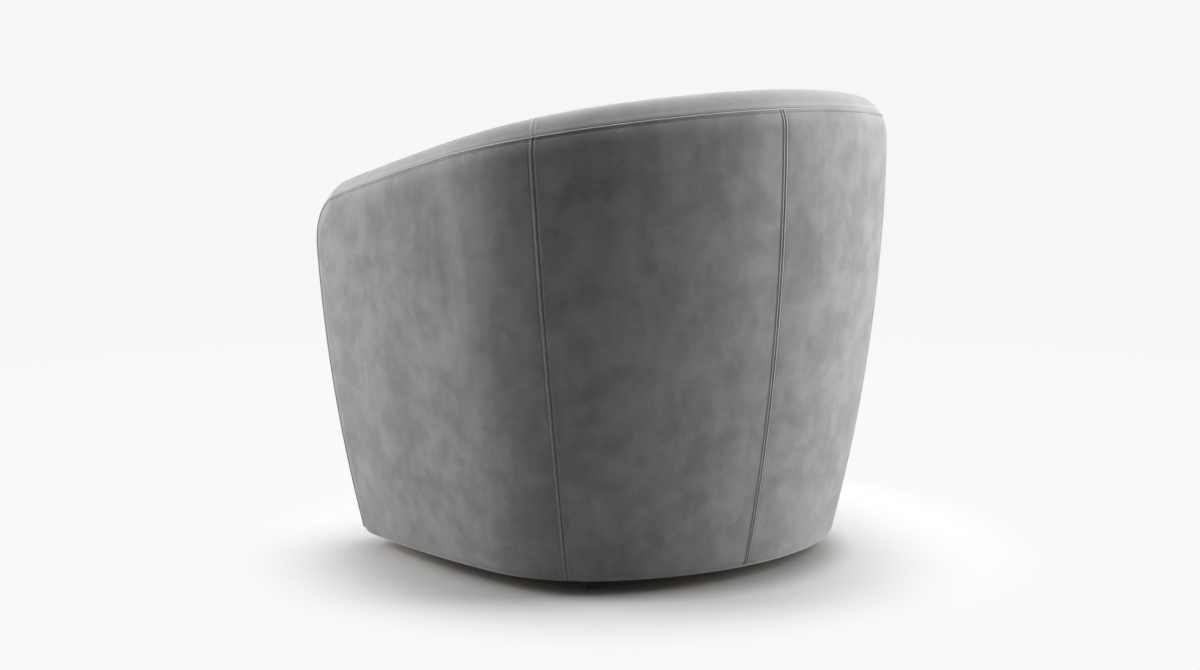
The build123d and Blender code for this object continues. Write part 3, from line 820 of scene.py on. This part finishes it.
# relief of the band: its sewn edges, a stuffing and slow waves
def bandRelief(run, seed):
    wave = ripples(run, bandLook["waveAcross"] * bandAcross[None], seed, bandLook["waveSize"])
    return (sewn((bandEdge, bandSewing)) + bandLook["puff"] * stuffed(bandEdge, bandLook["puffReach"])
            + bandLook["wave"] * wave * stuffed(bandEdge, bandLook["waveReach"]))


# where the band's joint crosses its crown so that it meets the side seam: that seam less the slope's shift
def jointPath():
    z = search["jointZ"]
    for _ in range(search["rounds"]):
        s = seamAt(np.array([z]))
        z = float(bandSeam(s, z, 1)[0][0])
    outlineWay, heading = underCrest(s, 1)[2][0], float(headingAt(s)[0])
    along = outlineWay[0] * math.cos(heading) - outlineWay[1] * math.sin(heading)
    return float(s[0]) - rimRadius * math.sin(halfAngle[0]) * along


# arm band: up the front, round the nose and along the crest to the joint
def armBand(finish, seed):
    tallest = np.linspace(noseZ - bandLook["bottomZ"], 0, bandLook["uprights"])
    bend = np.linspace(0, noseTurn, bandLook["nose"])[1:]
    drop = np.concatenate([tallest, 0 * bend])[:, None]
    turn = np.concatenate([0 * tallest, bend])[:, None]
    relief = bandRelief(noseRadius * turn - drop, seed) + hemRelief(noseZ - drop)
    outer, inner = behindFront(turn, drop, 1), behindFront(turn, drop, -1)
    front = bandRows(outer, inner, relief)
    fine = panelLook["fine"]
    share, offset = packed(panelLook["near"], fine, bandLook["crest"])
    share, offset = share[fine:, None], np.minimum(offset[fine:, None], 0)
    ends = [float(line[0][-1, 0]) for line in (outer, inner)]
    runs = [np.maximum(end + (finish - end) * share - offset, finish) for end in ends]
    fromJoint = runs[0] - finish + (runs[1] - runs[0]) * bandAcross
    relief = bandRelief(noseRadius * noseTurn + ends[0] - runs[0], seed) + sewn((fromJoint, jointSewing))
    top = bandRows(underCrest(runs[0], 1), underCrest(runs[1], -1), relief)
    # painted highlight along the band's sewn folds and its joint
    frontHighlight = np.tile(paintedHighlight((bandEdge, bandSewing)), (len(front), 1))
    topHighlight = paintedHighlight((bandEdge, bandSewing), (fromJoint, jointSewing))
    return np.concatenate([front, top]), np.concatenate([frontHighlight, topHighlight])


finish = jointPath()
for word, side in sides:
    points, highlight = armBand(finish, seeds["armBand"] + side)
    piece = surface(f"arm_band_{word}_cover", mirrored(points, side), flip=side < 0, edge=highlight)
    dress(piece, smoothLeather, nodes=[f"arm_band_{word}"], thick=panelLook["thick"])

s = across(finish, -finish, packed(-panelLook["near"], panelLook["fine"], bandLook["back"]))[:, None]
fromJoint = finish - np.abs(s) * np.ones_like(bandEdge)
relief = bandRelief(s, seeds["backBand"]) + sewn((fromJoint, jointSewing))
piece = surface("back_band_cover", bandRows(underCrest(s, 1), underCrest(s, -1), relief),
                edge=paintedHighlight((bandEdge, bandSewing), (fromJoint, jointSewing)))
dress(piece, smoothLeather, nodes=["back_band"], thick=panelLook["thick"])
print("bands made")

# bowed front under the seat
frontLook = dict(radius=0.375, centreY=0.037, tuck=3.0 * mm, round=11 * mm, flap=0.040, bottomZ=0.0215,
                 rows=90, bend=14, flapRows=10, columns=170, firstTurn=38.0, rounds=12,
                 puff=1.5 * mm, puffReach=0.06, wave=0.6 * mm, waveReach=0.05, waveSize=0.13)


# rows go up the face, round its top edge and back over the platform; columns turn about the seat's centre
def frontCover():
    r, topZ, centreY = frontLook["round"], shell["deckZ"], frontLook["centreY"]
    low = np.linspace(frontLook["bottomZ"], topZ - r, frontLook["rows"])
    turn = np.linspace(0, math.pi / 2, frontLook["bend"])[1:]
    flap = np.linspace(0, frontLook["flap"] - r, frontLook["flapRows"] + 1)[1:]
    z = np.concatenate([low, topZ - r + r * np.sin(turn), np.full_like(flap, topZ)])[:, None]
    back = np.concatenate([0 * low, r - r * np.cos(turn), r + flap])[:, None]
    reach = frontLook["radius"] + outside(topZ) - outside(z) - back
    turnEnd = np.full_like(reach, math.radians(frontLook["firstTurn"]))
    for _ in range(frontLook["rounds"]):
        y = centreY - reach * np.cos(turnEnd)
        wallX = wallPoint(pathAt(y, inside(z)), inside(z))[0]
        turnEnd = np.arcsin(np.clip((wallX + frontLook["tuck"]) / reach, -1, 1))
    share = np.linspace(-1, 1, frontLook["columns"])[None]
    angle = turnEnd * share
    fromEnd = (1 - np.abs(share)) * turnEnd * reach
    wave = frontLook["wave"] * ripples(angle * reach, z, seeds["front"], frontLook["waveSize"])
    swell = (frontLook["puff"] * stuffed(np.minimum(fromEnd, z), frontLook["puffReach"]) + hemRelief(z)
             + wave * stuffed(fromEnd, frontLook["waveReach"]))
    radius = reach + swell * (back < r)
    x, y = radius * np.sin(angle), centreY - radius * np.cos(angle)
    return np.stack([x, y, z * np.ones_like(angle)], axis=-1)


piece = surface("front_panel", frontCover(), flip=True)
dress(piece, leather, nodes=["front_cover"], thick=panelLook["thick"])
print("front made")

# seams: rows of stitches, the edge under the band and the hem
seamLook = dict(low=0.026, innerLow=0.31, innerEdgeLow=0.296, short=9 * mm, sunk=0.6,
                frontCount=160, noseCount=60, crestCount=420, uprightCount=200,
                edgeRadius=0.95 * mm, edgeAt=1.6 * mm, edgeLift=0.75 * mm,
                hemRadius=1.1 * mm, hemZ=0.0212, hemIn=2.8 * mm, hemCount=700)


# points on the wall with the way its face looks there
def onWall(s, z, depth, face):
    x, y = wallPoint(s, depth)
    return np.stack([x, y, z], axis=1), rimWays(s, 0 * s, face)[0]


# line on the wall a set distance inside its outline: up the arm's front, round its nose, along the crest
def outlineLine(h, face, push, low):
    small = noseRadius - h
    upright = np.linspace(low, noseZ, seamLook["frontCount"])
    turn = np.concatenate([0 * upright, np.linspace(0, noseTurn, seamLook["noseCount"])[1:]])
    drop = np.concatenate([noseZ - upright, np.zeros(seamLook["noseCount"] - 1)])
    y = frontLine(noseZ - drop) + noseRadius - small * np.cos(turn)
    z = noseZ - drop + small * np.sin(turn)
    inset = 0.0
    for _ in range(search["noseRounds"]):
        s = pathAt(y, faceDepth(z, face) + inset)
        tilt = tiltAt(s, -np.cos(turn), face)
        inset = face * (rimInset(h, tilt) - push)
    top = np.linspace(s[-1], 0, seamLook["crestCount"])[1:]
    topZ = np.full_like(top, search["lineZ"])
    for _ in range(search["crestRounds"]):
        ridge, stretch, topTilt = bandSeam(top, topZ, face)
        topZ = ridge - (h - seamDrop) * stretch
    inset = np.concatenate([inset, face * (rimInset(h, topTilt) - push)])
    s, z = np.concatenate([s, top]), np.concatenate([z, topZ])
    points, wallWay = onWall(s, z, faceDepth(z, face) + inset, face)
    rise = np.maximum(0, np.concatenate([tilt, topTilt]) + math.asin(max(-1.0, 1 - h / rimRadius)))
    turn = np.concatenate([turn, np.full_like(top, math.pi / 2)])
    outward = np.stack([0 * turn, -np.cos(turn), np.sin(turn)], axis=1)
    return points, wallWay * np.cos(rise)[:, None] + outward * np.sin(rise)[:, None]


# the whole line from arm to arm: the left half and its mirror
def bothArms(line):
    return [np.concatenate([half, (half * flipX)[-2::-1]]) for half in line]


# upright line a little beside a seam: the face's depth there, drawn in at the rim
def uprightLine(place, sideways, face, push, low, high):
    z = np.linspace(low, high, seamLook["uprightCount"])
    s = place(z) + sideways
    ridge, stretch, tilt = bandSeam(s, z, face)
    inset = rimInset(seamDrop + (ridge - z) / stretch, tilt)
    return onWall(s, z, faceDepth(z, face) + face * (inset - push), face)


# where an upright seam's stitches stop: a little below the band
def seamEnd(s, z):
    return float(bandSeam(np.array([s]), z, 1)[0][0]) - seamLook["short"]


low, innerLow = seamLook["low"], seamLook["innerLow"]
for name, face, start in (("band_seam_stitching", 1, low), ("inside_seam_stitching", -1, innerLow)):
    line = outlineLine(seamDrop + topSewing["stitchAt"], face, -topSewing["dip"] * seamLook["sunk"], start)
    stitchRows(name, [bothArms(line)])

topEnd = seamEnd(0.0, search["backZ"])
sideEnd = seamEnd(seamAt(search["jointZ"]), search["jointZ"])
uprightSeams = (
    ("back_seam_stitching", lambda z: 0 * z, middleSewing, 1, low, topEnd),
    ("side_seam_stitching", seamAt, sideSewing, 1, low, sideEnd),
    ("inside_joint_stitching", seamAt, sideSewing, -1, innerLow, sideEnd),
)
for name, place, sewing, face, start, end in uprightSeams:
    line = uprightLine(place, sewing["stitchAt"], face, -sewing["dip"] * seamLook["sunk"], start, end)
    stitchRows(name, [line, [half * flipX for half in line]])

for name, face, start in (("band_edge_outside", 1, low), ("band_edge_inside", -1, seamLook["innerEdgeLow"])):
    line = outlineLine(seamDrop + seamLook["edgeAt"], face, seamLook["edgeLift"], start)
    dress(tube(name, bothArms(line)[0], seamLook["edgeRadius"]), leather)

hemZ = seamLook["hemZ"]
armEnd = pathAt(frontLine(hemZ) + rimRadius, outside(hemZ))
x, y = wallPoint(np.linspace(-armEnd, armEnd, seamLook["hemCount"]), outside(hemZ) + seamLook["hemIn"])
hemPath = np.stack([x, y, np.full_like(x, hemZ)], axis=1)
dress(tube("hem_outside", hemPath, seamLook["hemRadius"]), leather)
print("seams sewn")

# seat deck and dust cover, two stretched sheets
deckLook = dict(centre=(0.0, -0.02), rings=40, spokes=240, wallRun=0.5, wallPoints=1200, beyond=9.0,
                corner=0.5 * mm, deckIn=1.0 * mm, deckLift=0.4 * mm, deckSag=-0.8 * mm, deckThick=1.2 * mm,
                coverDrop=0.3 * mm, coverSag=-2.5 * mm, coverThick=0.8 * mm)
centreX, centreY = deckLook["centre"]


# reach of the seat's outline by angle: the nearer of the wall's plan and the bowed front, corners rounded
def seatRim(depth, radius, turn, corner):
    run = cornerEnd + deckLook["wallRun"]
    x, y = wallPoint(np.linspace(-run, run, deckLook["wallPoints"]), depth)
    angle = np.arctan2(x - centreX, y - centreY)
    reach = np.hypot(x - centreX, y - centreY)
    wallReach = np.interp(turn, angle, reach, left=deckLook["beyond"], right=deckLook["beyond"])
    offset = frontLook["centreY"] - centreY
    frontReach = offset * np.cos(turn) + np.sqrt(radius ** 2 - (offset * np.sin(turn)) ** 2)
    near = np.minimum(wallReach, frontReach)
    return near - corner * np.log1p(np.exp(-np.abs(wallReach - frontReach) / corner))


# points about the seat's centre by angle and reach, at a height
def aboutSeat(reach, turn, z):
    height = z * np.ones_like(turn)
    return np.stack([centreX + reach * np.sin(turn), centreY + reach * np.cos(turn), height], axis=-1)


# one sheet: rings from the middle out to the seat's outline, sagging most in the middle
def makeSheet(name, node, depth, radius, z, sag, thick, flip):
    turn = np.linspace(-math.pi, math.pi, deckLook["spokes"], endpoint=False)
    rim = seatRim(depth, radius, turn, deckLook["corner"])
    share = np.linspace(0, 1, deckLook["rings"])[:, None]
    points = aboutSeat(rim * share, turn, z + sag * (1 - share ** 2))
    piece = surface(name, points, flip=flip, ring=True)
    tidyMesh(piece)
    dress(piece, finishes["black_cloth"], nodes=[node], thick=thick)


deckLow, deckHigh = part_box("deck_cloth")
makeSheet("deck_sheet", "deck_cloth", inside(deckLow.z) + deckLook["deckIn"],
          frontLook["centreY"] - deckLow.y, (deckLow.z + deckHigh.z) / 2 + deckLook["deckLift"],
          deckLook["deckSag"], deckLook["deckThick"], flip=False)
coverLow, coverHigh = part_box("dust_cover")
makeSheet("dust_cover_sheet", "dust_cover", shell["backY"] - coverHigh.y,
          frontLook["centreY"] - coverLow.y, coverHigh.z - deckLook["coverDrop"],
          deckLook["coverSag"], deckLook["coverThick"], flip=True)
print("sheets made")

# loose seat cushion
cushionLook = dict(cells=40, rings=24, patch=0.35, sideRows=14, foot=4 * mm, footFrom=0.9, side=0.114,
                   gap=6 * mm, over=2 * mm, waist=5 * mm, corner=10 * mm, cut=20 * mm, cutPower=5,
                   pressure=4.0, frames=20, pinned=0.97, stiff=25, bend=2, sideCap=3 * mm, fill=0.85,
                   pipe=2.1 * mm, pipeOut=0.8 * mm)


# a panel as shares of its outline by angle: a square grid pressed into a disc, and rings round it
def panelGrid():
    cells, rings, patch = cushionLook["cells"], cushionLook["rings"], cushionLook["patch"]
    step = np.linspace(-1, 1, cells + 1)
    a, b = np.meshgrid(step, step, indexing="ij")
    x, y = a * np.sqrt(1 - b ** 2 / 2), b * np.sqrt(1 - a ** 2 / 2)
    index = np.arange(x.size).reshape(cells + 1, -1)
    edge = np.concatenate([index[0, :-1], index[:-1, -1], index[-1, :0:-1], index[:0:-1, 0]])
    share, turn = np.hypot(x, y).ravel() * patch, np.arctan2(x, y).ravel()
    lines = np.concatenate([[edge], x.size + np.arange(rings * len(edge)).reshape(-1, len(edge))])
    share = np.concatenate([share, np.repeat(np.linspace(patch, 1, rings + 1)[1:], len(edge))])
    turn = np.concatenate([turn, np.tile(turn[edge], rings)])
    return share, turn, np.concatenate([quadsOf(index), quadsOf(lines, ring=True)]), lines[-1]


# points of the cushion: a share of the seat's outline at a height, drawn in from it
def cushionPoints(z, drawn, share, turn):
    gap = cushionLook["gap"]
    radius = frontLook["radius"] + cushionLook["over"] - gap / 2 - drawn
    return aboutSeat(share * seatRim(inside(z) + gap + drawn, radius, turn, cushionLook["corner"]), turn, z)


# cut of the cushion: a panel underneath, a slightly crowned one on top, and the boxing drawn in at its waist
def cutCushion(low):
    rows = cushionLook["sideRows"]
    share, turn, quads, ring = panelGrid()
    count = len(share)
    lift = np.clip((share - cushionLook["footFrom"]) / (1 - cushionLook["footFrom"]), 0, 1) ** 2
    foot, top = low.z + cushionLook["foot"], low.z + cushionLook["side"]
    points = [cushionPoints(low.z, 0.0, share, turn), cushionPoints(top, 0.0, share, turn)]
    points[0][:, 2] += cushionLook["foot"] * lift
    points[1][:, 2] += cushionLook["cut"] * (1 - share ** cushionLook["cutPower"])
    lines = [ring]
    for number in range(1, rows):
        part = number / rows
        drawn = cushionLook["waist"] * math.sin(math.pi * part)
        lines.append(2 * count + (number - 1) * len(ring) + np.arange(len(ring)))
        points.append(cushionPoints(foot + (top - foot) * part, drawn, 1.0, turn[ring]))
    lines.append(count + ring)
    boxing = quadsOf(np.array(lines), ring=True)
    faces = np.concatenate([quads, count + quads, boxing])
    piece = meshFrom("seat_cushion_cover", np.concatenate(points), faces)
    tidyMesh(piece)
    return piece, share, ring


# places of a piece's vertices
def coordinates(piece):
    co = np.empty(len(piece.data.vertices) * 3, np.float32)
    piece.data.vertices.foreach_get("co", co)
    return co.reshape(-1, 3).astype(float)


# keeps what the modifiers give: the evaluated mesh takes the place of the piece's own
def settle(piece):
    bpy.context.view_layer.update()
    graph = bpy.context.evaluated_depsgraph_get()
    mesh = bpy.data.meshes.new_from_object(piece.evaluated_get(graph))
    piece.modifiers.clear()
    old = piece.data
    piece.data = mesh
    bpy.data.meshes.remove(old)


# stuffs the cushion: blown up as cloth on its flat underside, its moves drawn back to their caps
def stuffCushion(piece, rest, share, crown):
    pins = piece.vertex_groups.new(name="resting")
    pins.add([int(k) for k in np.nonzero(share < cushionLook["pinned"])[0]], 1.0, "ADD")
    cloth = piece.modifiers.new("stuffing", "CLOTH").settings
    cloth.vertex_group_mass = "resting"
    cloth.use_pressure = True
    cloth.uniform_pressure_force = cushionLook["pressure"]
    cloth.effector_weights.gravity = 0
    cloth.tension_stiffness = cushionLook["stiff"]
    cloth.compression_stiffness = cushionLook["stiff"]
    cloth.bending_stiffness = cushionLook["bend"]
    scene = bpy.context.scene
    for number in range(1, cushionLook["frames"] + 1):
        scene.frame_set(number)
    settle(piece)
    scene.frame_set(1)
    piece.vertex_groups.clear()
    move = coordinates(piece) - rest
    sideways, up = float(np.hypot(move[:, 0], move[:, 1]).max()), float(move[:, 2].max())
    print("cushion swelled by", round(sideways, 4), "sideways and", round(up, 4), "up")
    move[:, :2] *= min(1.0, cushionLook["sideCap"] / sideways)
    move[:, 2] *= min(1.0, crown / up)
    return rest + move


cushionLow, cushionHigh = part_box("seat_cushion")
cushion, share, ring = cutCushion(cushionLow)
rest = coordinates(cushion)
crown = cushionHigh.z - cushionLow.z - cushionLook["side"] - cushionLook["cut"]
full = stuffCushion(cushion, rest, share, crown)
full[:, 2] = np.maximum(full[:, 2], cushionLow.z)
cushion.data.vertices.foreach_set("co", full.astype(np.float32).ravel())
cushion.data.shade_smooth()
smooth = cushion.modifiers.new("smooth", "SUBSURF")
smooth.levels = 1
smooth.render_levels = 1
dress(cushion, leather, body="cushion", nodes=["seat_cushion"])
for name, line in (("cushion_piping_bottom", ring), ("cushion_piping_top", len(share) + ring)):
    path = full[line]
    outward = path - path.mean(axis=0)
    outward[:, 2] = 0
    path = path + cushionLook["pipeOut"] * outward / np.linalg.norm(outward, axis=1, keepdims=True)
    dress(tube(name, path, cushionLook["pipe"], closed=True), leather, body="cushion")
print("cushion stuffed", [round(float(v), 4) for v in np.ptp(full, axis=0)])

# stage, camera and light: a lamp's row is its place right of, beyond and above the chair, its size and power
viewLook = dict(place=(2.21564, 2.76261, 0.867845), heading=217.986, pitch=8.718, sensor=36, focal=2378.143,
                photoWide=1200)
lamps = dict(
    rightSoftbox=(2.4, 0.32, 1.12, (1.5, 2.0), 100),
    leftSoftbox=(-2.4, 0.45, 0.95, (1.5, 2.0), 70),
    topSoftbox=(0.0, 0.12, 2.6, (1.3, 1.3), 56),
    backSoftbox=(0.0, 2.6, 1.5, (3.0, 1.4), 26),
)
# the floor's under colour is a painted shadow under the chair, blended into the plain floor over besideRun
stageLook = dict(floor=(0.67, 0.67, 0.666), under=(0.28, 0.28, 0.278), bounce=(0.38, 0.38, 0.38),
                 near=(0.952, 0.952, 0.949), white=(0.925, 0.925, 0.922), rough=0.8, fill=0.03,
                 besideRun=(0.26, 0.35), fadeRun=(0.35, 0.64), awayRun=(1.3, 3.0),
                 rings=(0.001, 1.0, 2.0, 4.0, 9.0), spokes=96, aim=(0, 0, 0.35))


# puts a camera or lamp at a place, looking along a direction
def lookAlong(piece, place, way):
    piece.matrix_world = Matrix.Translation(place) @ way.to_track_quat("-Z", "Y").to_matrix().to_4x4()


# camera of the photo: its heading and pitch give the way it looks
def makeCamera():
    camera = bpy.data.cameras.new("camera")
    camera.lens = viewLook["sensor"] * viewLook["focal"] / viewLook["photoWide"]
    camera.sensor_width = viewLook["sensor"]
    piece = newObject("camera", camera)
    heading, pitch = math.radians(viewLook["heading"]), math.radians(viewLook["pitch"])
    level = math.cos(pitch)
    ahead = Vector((math.sin(heading) * level, math.cos(heading) * level, -math.sin(pitch)))
    lookAlong(piece, viewLook["place"], ahead)
    bpy.context.scene.camera = piece
    return ahead


# soft lamp placed by the camera's right and its way ahead, aimed at the chair
def softLight(name, sideways, beyond, height, size, power):
    light = bpy.data.lights.new(name, "AREA")
    light.shape = "RECTANGLE"
    light.size, light.size_y = size
    light.energy = power
    place = right * sideways + back * beyond + Vector((0, 0, height))
    lookAlong(newObject(name, light), place, Vector(stageLook["aim"]) - place)


# rays that show the ground: the camera's own, and those that gloss and glass send on
def seenRays(tree):
    path = addNode(tree, "ShaderNodeLightPath", {})
    onward = maths(tree, "MAXIMUM", path["Is Glossy Ray"], path["Is Transmission Ray"])
    return maths(tree, "MAXIMUM", path["Is Camera Ray"], onward)


# world: a faint fill on the chair, and the white ground to the eye
def makeWorld():
    world = bpy.data.worlds.new("studio")
    bpy.context.scene.world = world
    world.use_nodes = True
    tree = world.node_tree
    tree.nodes.clear()
    out = tree.nodes.new("ShaderNodeOutputWorld")
    plain = addNode(tree, "ShaderNodeBackground", dict(Color=(1, 1, 1), Strength=stageLook["fill"]))[0]
    white = addNode(tree, "ShaderNodeBackground", dict(Color=stageLook["white"], Strength=1.0))[0]
    feed(tree, out.inputs["Surface"], blendShader(tree, seenRays(tree), plain, white))


# floor: a wide disc with a painted shadow under the chair, plain beside it and fading into the white ground
# away from it
def makeFloor():
    turn = np.linspace(0, 2 * np.pi, stageLook["spokes"], endpoint=False)
    reach = np.array(stageLook["rings"])[:, None]
    points = np.stack([reach * np.cos(turn), reach * np.sin(turn), 0 * reach * turn], axis=-1)
    floor = surface("floor", points, ring=True)
    material, tree, shader, vector = newMaterial("paleFloor")
    far = addNode(tree, "ShaderNodeVectorMath", {0: vector}, operation="LENGTH")["Value"]
    seen = seenRays(tree)
    # painted shadow under the chair: the dark colour near the middle, the plain floor beside it
    beside = remap(tree, far, *stageLook["besideRun"])
    ground = blendColour(tree, beside, stageLook["under"], stageLook["floor"])
    feed(tree, shader.inputs["Base Color"], blendColour(tree, seen, stageLook["bounce"], ground))
    shader.inputs["Roughness"].default_value = stageLook["rough"]
    away = remap(tree, far, *stageLook["awayRun"])
    white = blendColour(tree, away, stageLook["near"], stageLook["white"])
    glow = addNode(tree, "ShaderNodeEmission", dict(Color=white))[0]
    fade = maths(tree, "MULTIPLY", remap(tree, far, *stageLook["fadeRun"]), seen)
    out = [n for n in tree.nodes if n.type == "OUTPUT_MATERIAL"][0]
    feed(tree, out.inputs["Surface"], blendShader(tree, fade, shader.outputs[0], glow))
    floor.data.materials.append(material)


ahead = makeCamera()
right = Vector((ahead.y, -ahead.x, 0)).normalized()
back = Vector((ahead.x, ahead.y, 0)).normalized()
for name, lamp in lamps.items():
    softLight(name, *lamp)
makeWorld()
makeFloor()
bpy.context.scene.view_settings.view_transform = "Standard"
print("stage set")
